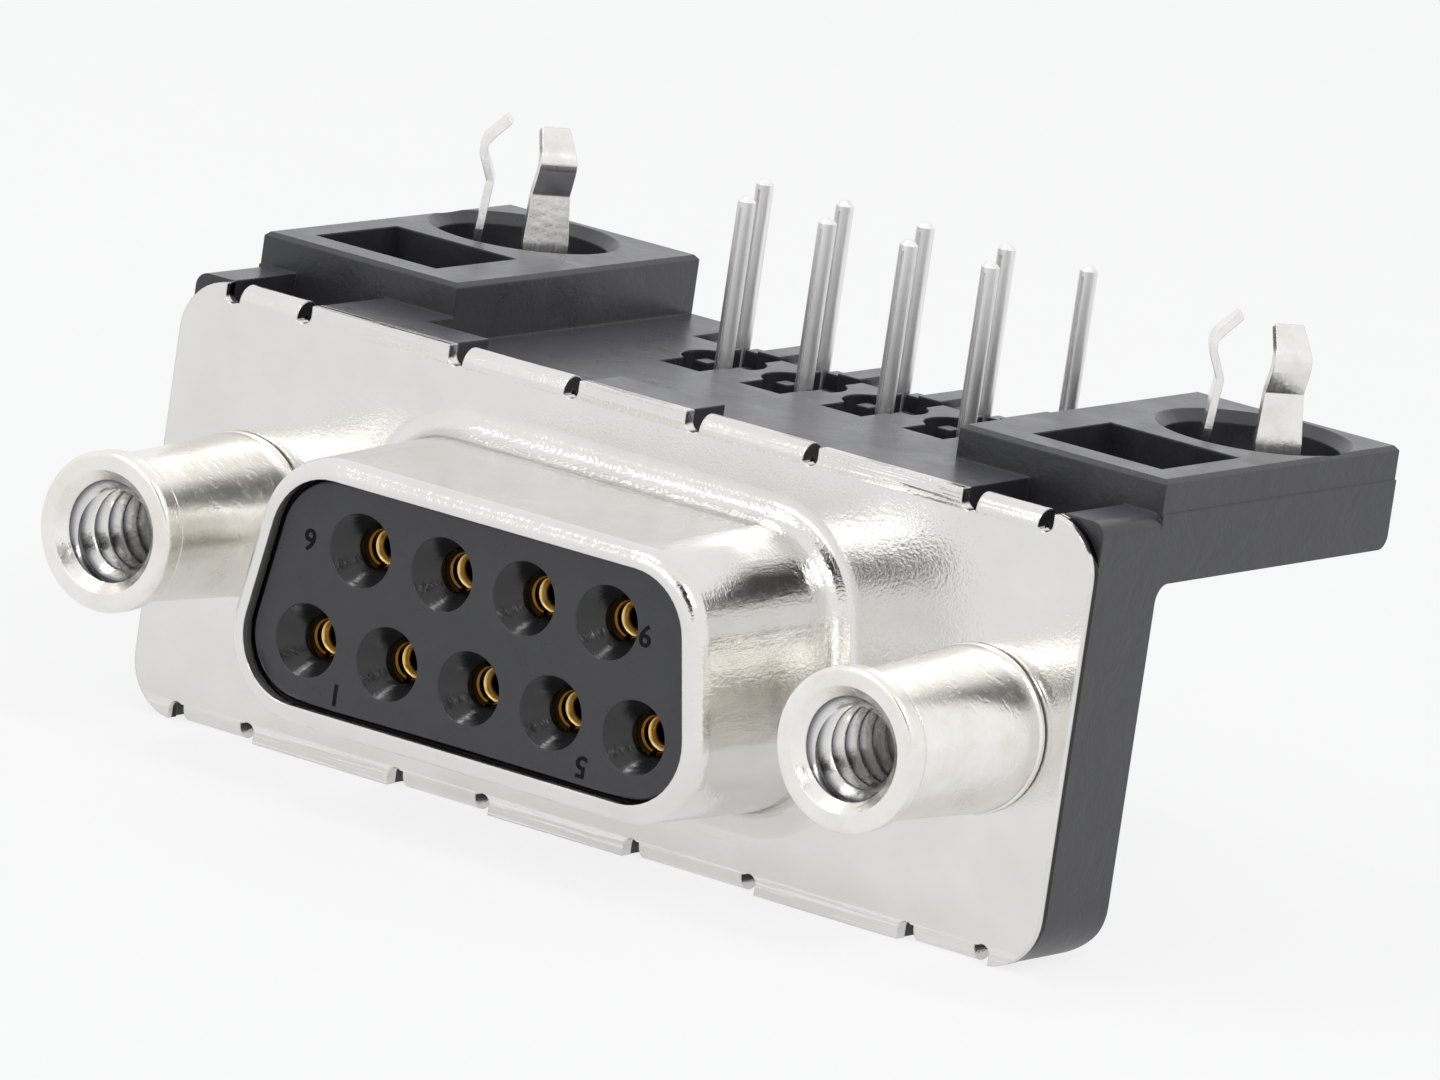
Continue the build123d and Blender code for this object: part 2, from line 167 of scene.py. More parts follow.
def tinned_sheet():
    """Drawn steel sheet, bright tin plated: a soft mirror, a little wavy like orange peel.
    The collar carries drag marks from the drawing die, the folded tabs carry fine fold lines,
    and the sheared side edges carry painted shade behind a bright line."""
    material, tree = blank_material("tinned_sheet")
    place = add_node(tree, "ShaderNodeTexCoord").outputs["Object"]
    axes = add_node(tree, "ShaderNodeSeparateXYZ", {}, {0: place})
    edge = add_node(tree, "ShaderNodeBevel", {"samples": EDGE_SAMPLES}, {"Radius": 0.07 * MM})

    # Plating clouds about 3 mm across, barely seen
    cloud = add_node(tree, "ShaderNodeTexNoise", {},
                     {"Vector": place, "Scale": per_metre(3.0), "Detail": 4.0, "Roughness": 0.6})
    tone = add_node(tree, "ShaderNodeValToRGB",
                    {"stops": [(0.3, linear("#E3E2DE")), (0.5, linear("#E7E6E3")), (0.7, linear("#EBEAE8"))]},
                    {"Fac": cloud.outputs["Fac"]})

    # The side edges were sheared: a bright burnished line in front, and behind it a dark band of
    # painted shade, where the edge meets the body behind the flange
    facing = add_node(tree, "ShaderNodeNewGeometry").outputs["Normal"]
    facing_axes = add_node(tree, "ShaderNodeSeparateXYZ", {}, {0: facing})
    sideways = add_node(tree, "ShaderNodeMath", {"operation": "ABSOLUTE"}, {0: facing_axes.outputs["X"]})
    on_side = add_node(tree, "ShaderNodeMath", {"operation": "GREATER_THAN"},
                       {0: sideways.outputs[0], 1: 0.3})
    aside = add_node(tree, "ShaderNodeMath", {"operation": "ABSOLUTE"}, {0: axes.outputs["X"]})
    at_side = add_node(tree, "ShaderNodeMath", {"operation": "GREATER_THAN"},
                       {0: aside.outputs[0], 1: SIDE_EDGE * MM})
    at_back = add_node(tree, "ShaderNodeMapRange", {"interpolation_type": "SMOOTHSTEP"},
                       {"Value": axes.outputs["Y"], "From Min": 0.14 * MM, "From Max": 0.22 * MM,
                        "To Min": 0.0, "To Max": 1.0})
    on_edge = add_node(tree, "ShaderNodeMath", {"operation": "MULTIPLY"},
                       {0: at_side.outputs[0], 1: on_side.outputs[0]})
    edge_shade = add_node(tree, "ShaderNodeMath", {"operation": "MULTIPLY"},
                       {0: on_edge.outputs[0], 1: at_back.outputs["Result"]})
    plated = add_node(tree, "ShaderNodeMix", {"data_type": "RGBA"},
                      {0: edge_shade.outputs[0], 6: tone.outputs["Color"], 7: linear("#33322F")})

    # Crystal grain under the tin, drawn at 0.1 mm because the real grain is too fine to show
    grain = add_node(tree, "ShaderNodeTexNoise", {},
                     {"Vector": place, "Scale": per_metre(0.1), "Detail": 2.0, "Roughness": 0.6})
    rough = add_node(tree, "ShaderNodeMapRange", {},
                     {"Value": grain.outputs["Fac"], "From Min": 0.3, "From Max": 0.7,
                      "To Min": 0.09, "To Max": 0.16})
    # The grain stands out where the sheet was stretched: round the collar's foot, round its rim,
    # and in patches of the flats
    at_foot = add_node(tree, "ShaderNodeMapRange", {"interpolation_type": "SMOOTHSTEP"},
                       {"Value": axes.outputs["Y"], "From Min": -0.03 * MM, "From Max": -0.12 * MM,
                        "To Min": 0.0, "To Max": 1.0})
    past_foot = add_node(tree, "ShaderNodeMapRange", {"interpolation_type": "SMOOTHSTEP"},
                         {"Value": axes.outputs["Y"], "From Min": -1.0 * MM, "From Max": -2.2 * MM,
                          "To Min": 1.0, "To Max": 0.12})
    at_rim = add_node(tree, "ShaderNodeMapRange", {"interpolation_type": "SMOOTHSTEP"},
                      {"Value": axes.outputs["Y"], "From Min": -5.3 * MM, "From Max": -5.75 * MM,
                       "To Min": 0.0, "To Max": 0.5})
    in_patch = add_node(tree, "ShaderNodeMapRange", {"interpolation_type": "SMOOTHSTEP"},
                        {"Value": cloud.outputs["Fac"], "From Min": 0.52, "From Max": 0.7,
                         "To Min": 0.45, "To Max": 0.9})
    foot_share = add_node(tree, "ShaderNodeMath", {"operation": "MULTIPLY"},
                          {0: at_foot.outputs["Result"], 1: past_foot.outputs["Result"]})
    bent_share = add_node(tree, "ShaderNodeMath", {"operation": "MAXIMUM"},
                          {0: foot_share.outputs[0], 1: at_rim.outputs["Result"]})
    grain_share = add_node(tree, "ShaderNodeMath", {"operation": "MAXIMUM"},
                           {0: bent_share.outputs[0], 1: in_patch.outputs["Result"]})
    grain_height = add_node(tree, "ShaderNodeMath", {"operation": "MULTIPLY"},
                            {0: grain.outputs["Fac"], 1: grain_share.outputs[0]})

    # Rings that the drawing die leaves round the collar's foot and rim, 0.2 mm apart
    round_collar = add_node(tree, "ShaderNodeVectorMath", {"operation": "MULTIPLY"},
                            {0: place, 1: (0.06, 1.0, 0.06)})
    rings = add_node(tree, "ShaderNodeTexNoise", {},
                     {"Vector": round_collar.outputs[0], "Scale": per_metre(0.2), "Detail": 1.0})
    ring_height = add_node(tree, "ShaderNodeMath", {"operation": "MULTIPLY"},
                           {0: rings.outputs["Fac"], 1: bent_share.outputs[0]})
    # Orange peel, about a millimetre from crest to crest
    peel = add_node(tree, "ShaderNodeTexNoise", {},
                    {"Vector": place, "Scale": per_metre(1.1), "Detail": 2.0, "Roughness": 0.5})
    # Drag marks 0.3 mm apart that run the way the collar was drawn
    along_draw = add_node(tree, "ShaderNodeVectorMath", {"operation": "MULTIPLY"},
                          {0: place, 1: (1.0, 0.12, 1.0)})
    drag = add_node(tree, "ShaderNodeTexNoise", {},
                    {"Vector": along_draw.outputs[0], "Scale": per_metre(0.3), "Detail": 3.0,
                     "Roughness": 0.65})
    on_collar = add_node(tree, "ShaderNodeMapRange", {},
                         {"Value": axes.outputs["Y"], "From Min": 0.1 * MM, "From Max": -1.2 * MM,
                          "To Min": 0.0, "To Max": 1.0})
    collar_drag = add_node(tree, "ShaderNodeMath", {"operation": "MULTIPLY"},
                           {0: drag.outputs["Fac"], 1: on_collar.outputs["Result"]})

    # Fold lines about 0.2 mm apart along the rolled faces of the tabs, none on their cut ends
    height = add_node(tree, "ShaderNodeMath", {"operation": "ABSOLUTE"}, {0: axes.outputs["Z"]})
    along_tab = add_node(tree, "ShaderNodeVectorMath", {"operation": "MULTIPLY"},
                         {0: place, 1: (0.035, 1.0, 1.0)})
    creases = add_node(tree, "ShaderNodeTexNoise", {},
                       {"Vector": along_tab.outputs[0], "Scale": per_metre(0.2), "Detail": 2.0,
                        "Roughness": 0.5})
    on_fold = add_node(tree, "ShaderNodeMapRange", {},
                       {"Value": height.outputs[0], "From Min": 5.7 * MM, "From Max": 5.9 * MM,
                        "To Min": 0.0, "To Max": 1.0})
    rolled = add_node(tree, "ShaderNodeMath", {"operation": "LESS_THAN"}, {0: sideways.outputs[0], 1: 0.4})
    on_rolled = add_node(tree, "ShaderNodeMath", {"operation": "MULTIPLY"},
                         {0: on_fold.outputs["Result"], 1: rolled.outputs[0]})
    fold_lines = add_node(tree, "ShaderNodeMath", {"operation": "MULTIPLY"},
                          {0: creases.outputs["Fac"], 1: on_rolled.outputs[0]})

    # Each mark is laid over the ones before it; its depth is in millimetres
    normal = edge.outputs[0]
    for mark, deep in ((peel.outputs["Fac"], 0.011), (grain_height.outputs[0], 0.013),
                       (ring_height.outputs[0], 0.012), (collar_drag.outputs[0], 0.012),
                       (fold_lines.outputs[0], 0.05)):
        normal = add_node(tree, "ShaderNodeBump", {},
                          {"Height": mark, "Distance": deep * MM, "Normal": normal}).outputs[0]
    shader = add_node(tree, "ShaderNodeBsdfPrincipled", {},
                      {"Base Color": plated.outputs[2], "Metallic": 1.0,
                       "Roughness": rough.outputs["Result"], "Normal": normal})
    add_node(tree, "ShaderNodeOutputMaterial", {}, {"Surface": shader.outputs[0]})
    return material


def turned_nickel():
    """Steel bar turned on a lathe and nickel plated: a warm mirror with faint rings round its axis
    and small pits and stains that the plating didn't fill."""
    material, tree = blank_material("turned_nickel")
    place = add_node(tree, "ShaderNodeTexCoord").outputs["Object"]
    edge = add_node(tree, "ShaderNodeBevel", {"samples": EDGE_SAMPLES}, {"Radius": 0.05 * MM})

    stain = add_node(tree, "ShaderNodeTexNoise", {},
                     {"Vector": place, "Scale": per_metre(1.6), "Detail": 5.0, "Roughness": 0.65})
    tone = add_node(tree, "ShaderNodeValToRGB",
                    {"stops": [(0.3, linear("#ECE8DF")), (0.5, linear("#F4F1EB")), (0.7, linear("#F9F7F3"))]},
                    {"Fac": stain.outputs["Fac"]})

    # The joint with the flange shows as a thin dark line of painted shade, where the foot meets the flange
    axes = add_node(tree, "ShaderNodeSeparateXYZ", {}, {0: place})
    from_flange = add_node(tree, "ShaderNodeMath", {"operation": "ABSOLUTE"}, {0: axes.outputs["Y"]})
    joint_shade = add_node(tree, "ShaderNodeMapRange", {"interpolation_type": "SMOOTHSTEP"},
                        {"Value": from_flange.outputs[0], "From Min": 0.05 * MM, "From Max": 0.09 * MM,
                         "To Min": 1.0, "To Max": 0.0})
    plated = add_node(tree, "ShaderNodeMix", {"data_type": "RGBA"},
                      {0: joint_shade.outputs["Result"], 6: tone.outputs["Color"], 7: linear("#68645C")})

    # Tool rings, drawn 0.11 mm apart because the real feed of about 0.05 mm is too fine to show
    round_axis = add_node(tree, "ShaderNodeVectorMath", {"operation": "MULTIPLY"},
                          {0: place, 1: (0.02, 1.0, 0.02)})
    rings = add_node(tree, "ShaderNodeTexNoise", {},
                     {"Vector": round_axis.outputs[0], "Scale": per_metre(0.11), "Detail": 2.0})
    rough = add_node(tree, "ShaderNodeMapRange", {},
                     {"Value": stain.outputs["Fac"], "From Min": 0.3, "From Max": 0.7,
                      "To Min": 0.3, "To Max": 0.2})
    # Pits and bumps under the plating, 0.28 mm across
    pits = add_node(tree, "ShaderNodeTexNoise", {},
                    {"Vector": place, "Scale": per_metre(0.28), "Detail": 3.0, "Roughness": 0.6})
    pit_depth = add_node(tree, "ShaderNodeMapRange", {"interpolation_type": "SMOOTHSTEP"},
                         {"Value": pits.outputs["Fac"], "From Min": 0.3, "From Max": 0.46,
                          "To Min": 0.0, "To Max": 1.0})

    normal = edge.outputs[0]
    for mark, deep in ((rings.outputs["Fac"], 0.0007), (pit_depth.outputs["Result"], 0.004),
                       (stain.outputs["Fac"], 0.016)):
        normal = add_node(tree, "ShaderNodeBump", {},
                          {"Height": mark, "Distance": deep * MM, "Normal": normal}).outputs[0]
    shader = add_node(tree, "ShaderNodeBsdfPrincipled", {},
                      {"Base Color": plated.outputs[2], "Metallic": 1.0,
                       "Roughness": rough.outputs["Result"], "Normal": normal})
    add_node(tree, "ShaderNodeOutputMaterial", {}, {"Surface": shader.outputs[0]})
    return material


def tapped_nickel():
    """Inside of the tapped bore: the crests keep the bright nickel, and the roots are painted
    dark as painted shade."""
    material, tree = blank_material("tapped_nickel")
    place = add_node(tree, "ShaderNodeTexCoord").outputs["Object"]
    axes = add_node(tree, "ShaderNodeSeparateXYZ", {}, {0: place})
    aside = add_node(tree, "ShaderNodeMath", {"operation": "ABSOLUTE"}, {0: axes.outputs["X"]})
    off_axis = add_node(tree, "ShaderNodeMath", {"operation": "SUBTRACT"},
                        {0: aside.outputs[0], 1: mounts["jackscrew_right"]["pos_m"][0]})
    across_axis = add_node(tree, "ShaderNodeCombineXYZ", {},
                           {"X": off_axis.outputs[0], "Y": axes.outputs["Z"]})
    radius = add_node(tree, "ShaderNodeVectorMath", {"operation": "LENGTH"}, {0: across_axis.outputs[0]})
    root = mounts["jackscrew_right"]["dims"]["r_mm"]
    # Painted shade: the colour darkens from the crests down into the thread's roots
    depth = add_node(tree, "ShaderNodeMapRange", {},
                     {"Value": radius.outputs["Value"], "From Min": (root - THREAD_DEPTH) * MM,
                      "From Max": root * MM, "To Min": 0.0, "To Max": 1.0})
    tone = add_node(tree, "ShaderNodeValToRGB",
                    {"stops": [(0.0, linear("#F2F1EF")), (0.5, linear("#D8D8D6")), (0.8, linear("#8C8C8E")),
                               (1.0, linear("#5C5C5E"))]},
                    {"Fac": depth.outputs["Result"]})
    # Chatter marks of the tap, a quarter of a millimetre apart
    chatter = add_node(tree, "ShaderNodeTexNoise", {},
                       {"Vector": place, "Scale": per_metre(0.25), "Detail": 3.0, "Roughness": 0.6})
    rough = add_node(tree, "ShaderNodeMapRange", {},
                     {"Value": chatter.outputs["Fac"], "From Min": 0.3, "From Max": 0.7,
                      "To Min": 0.16, "To Max": 0.3})
    normal = add_node(tree, "ShaderNodeBump", {}, {"Height": chatter.outputs["Fac"], "Distance": 0.01 * MM})
    shader = add_node(tree, "ShaderNodeBsdfPrincipled", {},
                      {"Base Color": tone.outputs["Color"], "Metallic": 1.0,
                       "Roughness": rough.outputs["Result"], "Normal": normal.outputs[0]})
    add_node(tree, "ShaderNodeOutputMaterial", {}, {"Surface": shader.outputs[0]})
    return material


def tinned_spring_strip():
    """Hard rolled strip, stamped and then bright tin plated: smooth flats with a faint rolled grain
    that follows the strip."""
    material, tree = blank_material("tinned_spring_strip")
    place = add_node(tree, "ShaderNodeTexCoord").outputs["Object"]
    edge = add_node(tree, "ShaderNodeBevel", {"samples": EDGE_SAMPLES}, {"Radius": 0.04 * MM})

    # Rolled grain, 0.09 mm across and drawn out along the height of the prongs
    along_strip = add_node(tree, "ShaderNodeVectorMath", {"operation": "MULTIPLY"},
                           {0: place, 1: (1.0, 1.0, 0.1)})
    grain = add_node(tree, "ShaderNodeTexNoise", {},
                     {"Vector": along_strip.outputs[0], "Scale": per_metre(0.09), "Detail": 3.0})
    cloud = add_node(tree, "ShaderNodeTexNoise", {},
                     {"Vector": place, "Scale": per_metre(0.8), "Detail": 4.0, "Roughness": 0.6})
    tone = add_node(tree, "ShaderNodeValToRGB",
                    {"stops": [(0.3, linear("#E6E4E0")), (0.5, linear("#EFEEEB")), (0.7, linear("#F5F4F2"))]},
                    {"Fac": cloud.outputs["Fac"]})
    rough = add_node(tree, "ShaderNodeMapRange", {},
                     {"Value": grain.outputs["Fac"], "From Min": 0.3, "From Max": 0.7,
                      "To Min": 0.14, "To Max": 0.24})
    normal = edge.outputs[0]
    for mark, deep in ((cloud.outputs["Fac"], 0.01), (grain.outputs["Fac"], 0.0008)):
        normal = add_node(tree, "ShaderNodeBump", {},
                          {"Height": mark, "Distance": deep * MM, "Normal": normal}).outputs[0]
    shader = add_node(tree, "ShaderNodeBsdfPrincipled", {},
                      {"Base Color": tone.outputs["Color"], "Metallic": 1.0,
                       "Roughness": rough.outputs["Result"], "Normal": normal})
    add_node(tree, "ShaderNodeOutputMaterial", {}, {"Surface": shader.outputs[0]})
    return material


def moulded_polyester():
    """Glass filled black polyester, straight from the mould: satin, cool black, with cloudy flow
    marks, short glass fibres under the skin, edges that catch the light, and painted top light on
    the faces that look up.
    The funnels that lead to the contacts are smoother, and painted darker as shade."""
    material, tree = blank_material("moulded_polyester")
    place = add_node(tree, "ShaderNodeTexCoord").outputs["Object"]
    edge = add_node(tree, "ShaderNodeBevel", {"samples": EDGE_SAMPLES}, {"Radius": 0.08 * MM})

    # Flow marks 1.5 mm across
    flow = add_node(tree, "ShaderNodeTexNoise", {},
                    {"Vector": place, "Scale": per_metre(1.5), "Detail": 5.0, "Roughness": 0.62,
                     "Distortion": 0.6})
    tone = add_node(tree, "ShaderNodeValToRGB",
                    {"stops": [(0.3, linear("#2C2C2F")), (0.7, linear("#353538"))]},
                    {"Fac": flow.outputs["Fac"]})
    # Glass fibres about 0.35 mm long and 0.07 mm apart, most of them along the moulding
    along_flow = add_node(tree, "ShaderNodeVectorMath", {"operation": "MULTIPLY"},
                          {0: place, 1: (0.2, 1.0, 1.0)})
    fibres = add_node(tree, "ShaderNodeTexNoise", {},
                      {"Vector": along_flow.outputs[0], "Scale": per_metre(0.07), "Detail": 2.0})
    rough = add_node(tree, "ShaderNodeMapRange", {},
                     {"Value": flow.outputs["Fac"], "From Min": 0.3, "From Max": 0.7,
                      "To Min": 0.25, "To Max": 0.36})

    # The funnels in the face were shaped by polished pins, so they are smoother than the rest
    axes = add_node(tree, "ShaderNodeSeparateXYZ", {}, {0: place})
    behind_face = add_node(tree, "ShaderNodeMath", {"operation": "GREATER_THAN"},
                           {0: axes.outputs["Y"], 1: INSULATOR_FACE * MM})
    before_sleeve = add_node(tree, "ShaderNodeMath", {"operation": "LESS_THAN"},
                             {0: axes.outputs["Y"], 1: SLEEVE_FRONT * MM})
    in_funnel = add_node(tree, "ShaderNodeMath", {"operation": "MULTIPLY"},
                         {0: behind_face.outputs[0], 1: before_sleeve.outputs[0]})
    finish = add_node(tree, "ShaderNodeMix", {"data_type": "FLOAT"},
                      {0: in_funnel.outputs[0], 2: rough.outputs["Result"], 3: 0.2})
    # Painted top light: the faces that look up are painted lighter
    facing = add_node(tree, "ShaderNodeNewGeometry").outputs["Normal"]
    facing_axes = add_node(tree, "ShaderNodeSeparateXYZ", {}, {0: facing})
    top_light = add_node(tree, "ShaderNodeMapRange", {"interpolation_type": "SMOOTHSTEP"},
                    {"Value": facing_axes.outputs["Z"], "From Min": 0.6, "From Max": 0.95,
                     "To Min": 0.0, "To Max": 1.0})
    top_lit_tone = add_node(tree, "ShaderNodeMix", {"data_type": "RGBA"},
                     {0: top_light.outputs["Result"], 6: tone.outputs["Color"], 7: linear("#505055")})
    # Little light gets down into the funnels and past the contacts
    depth_tone = add_node(tree, "ShaderNodeMix", {"data_type": "RGBA"},
                          {0: in_funnel.outputs[0], 6: top_lit_tone.outputs[2], 7: linear("#0C0C0D")})

    # Spark eroded skin of the mould, drawn at 0.2 mm because the real skin is too fine to show
    skin = add_node(tree, "ShaderNodeTexNoise", {},
                    {"Vector": place, "Scale": per_metre(0.2), "Detail": 3.0, "Roughness": 0.6})
    normal = edge.outputs[0]
    for mark, deep in ((flow.outputs["Fac"], 0.03), (skin.outputs["Fac"], 0.005),
                       (fibres.outputs["Fac"], 0.0015)):
        normal = add_node(tree, "ShaderNodeBump", {},
                          {"Height": mark, "Distance": deep * MM, "Normal": normal}).outputs[0]
    # The funnels are turned a little to the front, so that they catch light like shallower dishes
    turned = add_node(tree, "ShaderNodeVectorMath", {"operation": "ADD"}, {0: normal, 1: (0.0, -0.38, 0.0)})
    shallow = add_node(tree, "ShaderNodeVectorMath", {"operation": "NORMALIZE"}, {0: turned.outputs[0]})
    funnel_normal = add_node(tree, "ShaderNodeMix", {"data_type": "VECTOR"},
                             {0: in_funnel.outputs[0], 4: normal, 5: shallow.outputs[0]})
    shader = add_node(tree, "ShaderNodeBsdfPrincipled", {},
                      {"Base Color": depth_tone.outputs[2], "IOR": 1.58,
                       "Roughness": finish.outputs[0], "Normal": funnel_normal.outputs[1]})
    add_node(tree, "ShaderNodeOutputMaterial", {}, {"Surface": shader.outputs[0]})
    return material


def sunk_number():
    """Floors of numbers that were spark eroded rougher than the face round them; their dark colour
    is painted shade, as of numbers sunk into the face."""
    material, tree = blank_material("sunk_number")
    place = add_node(tree, "ShaderNodeTexCoord").outputs["Object"]
    # Craters of the erosion, drawn 0.1 mm apart because the real ones are too fine to show
    erosion = add_node(tree, "ShaderNodeTexNoise", {},
                       {"Vector": place, "Scale": per_metre(0.1), "Detail": 3.0})
    # The dark tone is painted shade
    tone = add_node(tree, "ShaderNodeValToRGB",
                    {"stops": [(0.3, linear("#121214")), (0.7, linear("#1D1D20"))]},
                    {"Fac": erosion.outputs["Fac"]})
    normal = add_node(tree, "ShaderNodeBump", {}, {"Height": erosion.outputs["Fac"], "Distance": 0.02 * MM})
    shader = add_node(tree, "ShaderNodeBsdfPrincipled", {},
                      {"Base Color": tone.outputs["Color"], "Roughness": 0.85, "Specular IOR Level": 0.15,
                       "Normal": normal.outputs[0]})
    add_node(tree, "ShaderNodeOutputMaterial", {}, {"Surface": shader.outputs[0]})
    return material


def gold_and_tin():
    """Rolled bronze contact: gold plated sleeve in front, bright tin on the tail behind the
    insulator, with draw lines along the tail. Only the lip and the pinch of the sleeve get light."""
    material, tree = blank_material("gold_and_tin")
    place = add_node(tree, "ShaderNodeTexCoord").outputs["Object"]
    axes = add_node(tree, "ShaderNodeSeparateXYZ", {}, {0: place})

    # Draw lines 0.12 mm apart along the upright tails
    along_tail = add_node(tree, "ShaderNodeVectorMath", {"operation": "MULTIPLY"},
                          {0: place, 1: (1.0, 1.0, 0.04)})
    drawn = add_node(tree, "ShaderNodeTexNoise", {},
                     {"Vector": along_tail.outputs[0], "Scale": per_metre(0.12), "Detail": 3.0})
    cloud = add_node(tree, "ShaderNodeTexNoise", {},
                     {"Vector": place, "Scale": per_metre(0.6), "Detail": 4.0, "Roughness": 0.6})
    gold = add_node(tree, "ShaderNodeValToRGB",
                    {"stops": [(0.3, linear("#F2C468")), (0.7, linear("#FFE2A0"))]},
                    {"Fac": cloud.outputs["Fac"]})
    tin = add_node(tree, "ShaderNodeValToRGB",
                   {"stops": [(0.3, linear("#E8E7E5")), (0.5, linear("#F6F5F4")), (0.7, linear("#FBFBFA"))]},
                   {"Fac": drawn.outputs["Fac"]})
    is_tail = add_node(tree, "ShaderNodeMath", {"operation": "GREATER_THAN"},
                       {0: axes.outputs["Y"], 1: TAIL_START * MM})

    # The cut end of the sleeve is painted dark next to the gold, as painted shade
    cut_end_shade = add_node(tree, "ShaderNodeMapRange", {},
                          {"Value": axes.outputs["Y"], "From Min": (SLEEVE_FRONT - 0.02) * MM,
                           "From Max": SLEEVE_FRONT * MM, "To Min": 1.0, "To Max": 0.0})
    # Light doesn't reach the groove behind the lip, nor the sleeve past the pinch
    past_lip = add_node(tree, "ShaderNodeMath", {"operation": "COMPARE"},
                        {0: axes.outputs["Y"], 1: -4.54 * MM, 2: 0.09 * MM})
    past_pinch = add_node(tree, "ShaderNodeMapRange", {"interpolation_type": "SMOOTHSTEP"},
                          {"Value": axes.outputs["Y"], "From Min": -4.3 * MM, "From Max": -4.18 * MM,
                           "To Min": 0.0, "To Max": 1.0})
    in_shadow = add_node(tree, "ShaderNodeMath", {"operation": "MAXIMUM"},
                         {0: past_lip.outputs[0], 1: past_pinch.outputs["Result"]})
    unlit = add_node(tree, "ShaderNodeMath", {"operation": "MAXIMUM"},
                     {0: cut_end_shade.outputs["Result"], 1: in_shadow.outputs[0]})
    front = add_node(tree, "ShaderNodeMix", {"data_type": "RGBA"},
                     {0: unlit.outputs[0], 6: gold.outputs["Color"], 7: linear("#1E150A")})
    plating = add_node(tree, "ShaderNodeMix", {"data_type": "RGBA"},
                       {0: is_tail.outputs[0], 6: front.outputs[2], 7: tin.outputs["Color"]})
    rough = add_node(tree, "ShaderNodeMapRange", {},
                     {"Value": cloud.outputs["Fac"], "From Min": 0.3, "From Max": 0.7,
                      "To Min": 0.26, "To Max": 0.42})
    finish = add_node(tree, "ShaderNodeMix", {"data_type": "FLOAT"},
                      {0: is_tail.outputs[0], 2: rough.outputs["Result"], 3: 0.4})

    normal = add_node(tree, "ShaderNodeBump", {},
                      {"Height": drawn.outputs["Fac"], "Distance": 0.002 * MM})
    normal = add_node(tree, "ShaderNodeBump", {},
                      {"Height": cloud.outputs["Fac"], "Distance": 0.004 * MM, "Normal": normal.outputs[0]})
    shader = add_node(tree, "ShaderNodeBsdfPrincipled", {},
                      {"Base Color": plating.outputs[2], "Metallic": 1.0,
                       "Roughness": finish.outputs[0], "Normal": normal.outputs[0]})
    add_node(tree, "ShaderNodeOutputMaterial", {}, {"Surface": shader.outputs[0]})
    return material


def white_table():
    """Matte white paper sweep. The camera and the shiny surfaces see it nearly white, and the
    object's own shadow stays on it."""
    material, tree = blank_material("white_table")
    place = add_node(tree, "ShaderNodeTexCoord").outputs["Object"]
    # Tooth of the paper, drawn 4 mm apart because the real tooth is too fine to show
    tooth = add_node(tree, "ShaderNodeTexNoise", {},
                     {"Vector": place, "Scale": per_metre(4.0), "Detail": 3.0})
    tone = add_node(tree, "ShaderNodeValToRGB",
                    {"stops": [(0.2, linear("#F4F4F4")), (0.8, linear("#F7F7F7"))]},
                    {"Fac": tooth.outputs["Fac"]})
    paper = add_node(tree, "ShaderNodeBsdfPrincipled", {},
                     {"Base Color": tone.outputs["Color"], "Roughness": 0.9})
    white = add_node(tree, "ShaderNodeEmission", {}, {"Color": linear("#FFFFFF"), "Strength": 1.0})
    path = add_node(tree, "ShaderNodeLightPath")
    seen = add_node(tree, "ShaderNodeMath", {"operation": "MULTIPLY"},
                    {0: path.outputs["Is Camera Ray"], 1: TABLE_SEEN})
    mirrored = add_node(tree, "ShaderNodeMath", {"operation": "MAXIMUM"},
                        {0: path.outputs["Is Glossy Ray"], 1: path.outputs["Is Transmission Ray"]})
    lift = add_node(tree, "ShaderNodeMath", {"operation": "MULTIPLY_ADD"},
                    {0: mirrored.outputs[0], 1: TABLE_MIRRORED, 2: seen.outputs[0]})
    surface = add_node(tree, "ShaderNodeMixShader", {},
                       {0: lift.outputs[0], 1: paper.outputs[0], 2: white.outputs[0]})
    add_node(tree, "ShaderNodeOutputMaterial", {}, {"Surface": surface.outputs[0]})
    return material


def soft_edged_card(name, hex_colour, size):
    """A card of one plain brightness whose edge fades out, seen only in reflections."""
    material, tree = blank_material(name)
    place = add_node(tree, "ShaderNodeTexCoord").outputs["Object"]
    from_middle = add_node(tree, "ShaderNodeVectorMath", {"operation": "MULTIPLY"},
                           {0: place, 1: (2 / (size[0] * MM), 2 / (size[1] * MM), 0.0)})
    reach = add_node(tree, "ShaderNodeVectorMath", {"operation": "LENGTH"}, {0: from_middle.outputs[0]})
    fade = add_node(tree, "ShaderNodeMapRange", {"interpolation_type": "SMOOTHSTEP"},
                    {"Value": reach.outputs["Value"], "From Min": 0.45, "From Max": 1.0,
                     "To Min": 0.0, "To Max": 1.0})
    glow = add_node(tree, "ShaderNodeEmission", {}, {"Color": linear(hex_colour), "Strength": 1.0})
    clear = add_node(tree, "ShaderNodeBsdfTransparent")
    surface = add_node(tree, "ShaderNodeMixShader", {},
                       {0: fade.outputs["Result"], 1: glow.outputs[0], 2: clear.outputs[0]})
    add_node(tree, "ShaderNodeOutputMaterial", {}, {"Surface": surface.outputs[0]})
    return material


def dress(node, material):
    """Gives a CAD piece its material."""
    mesh = nodes[node].data
    mesh.materials.clear()
    mesh.materials.append(material)


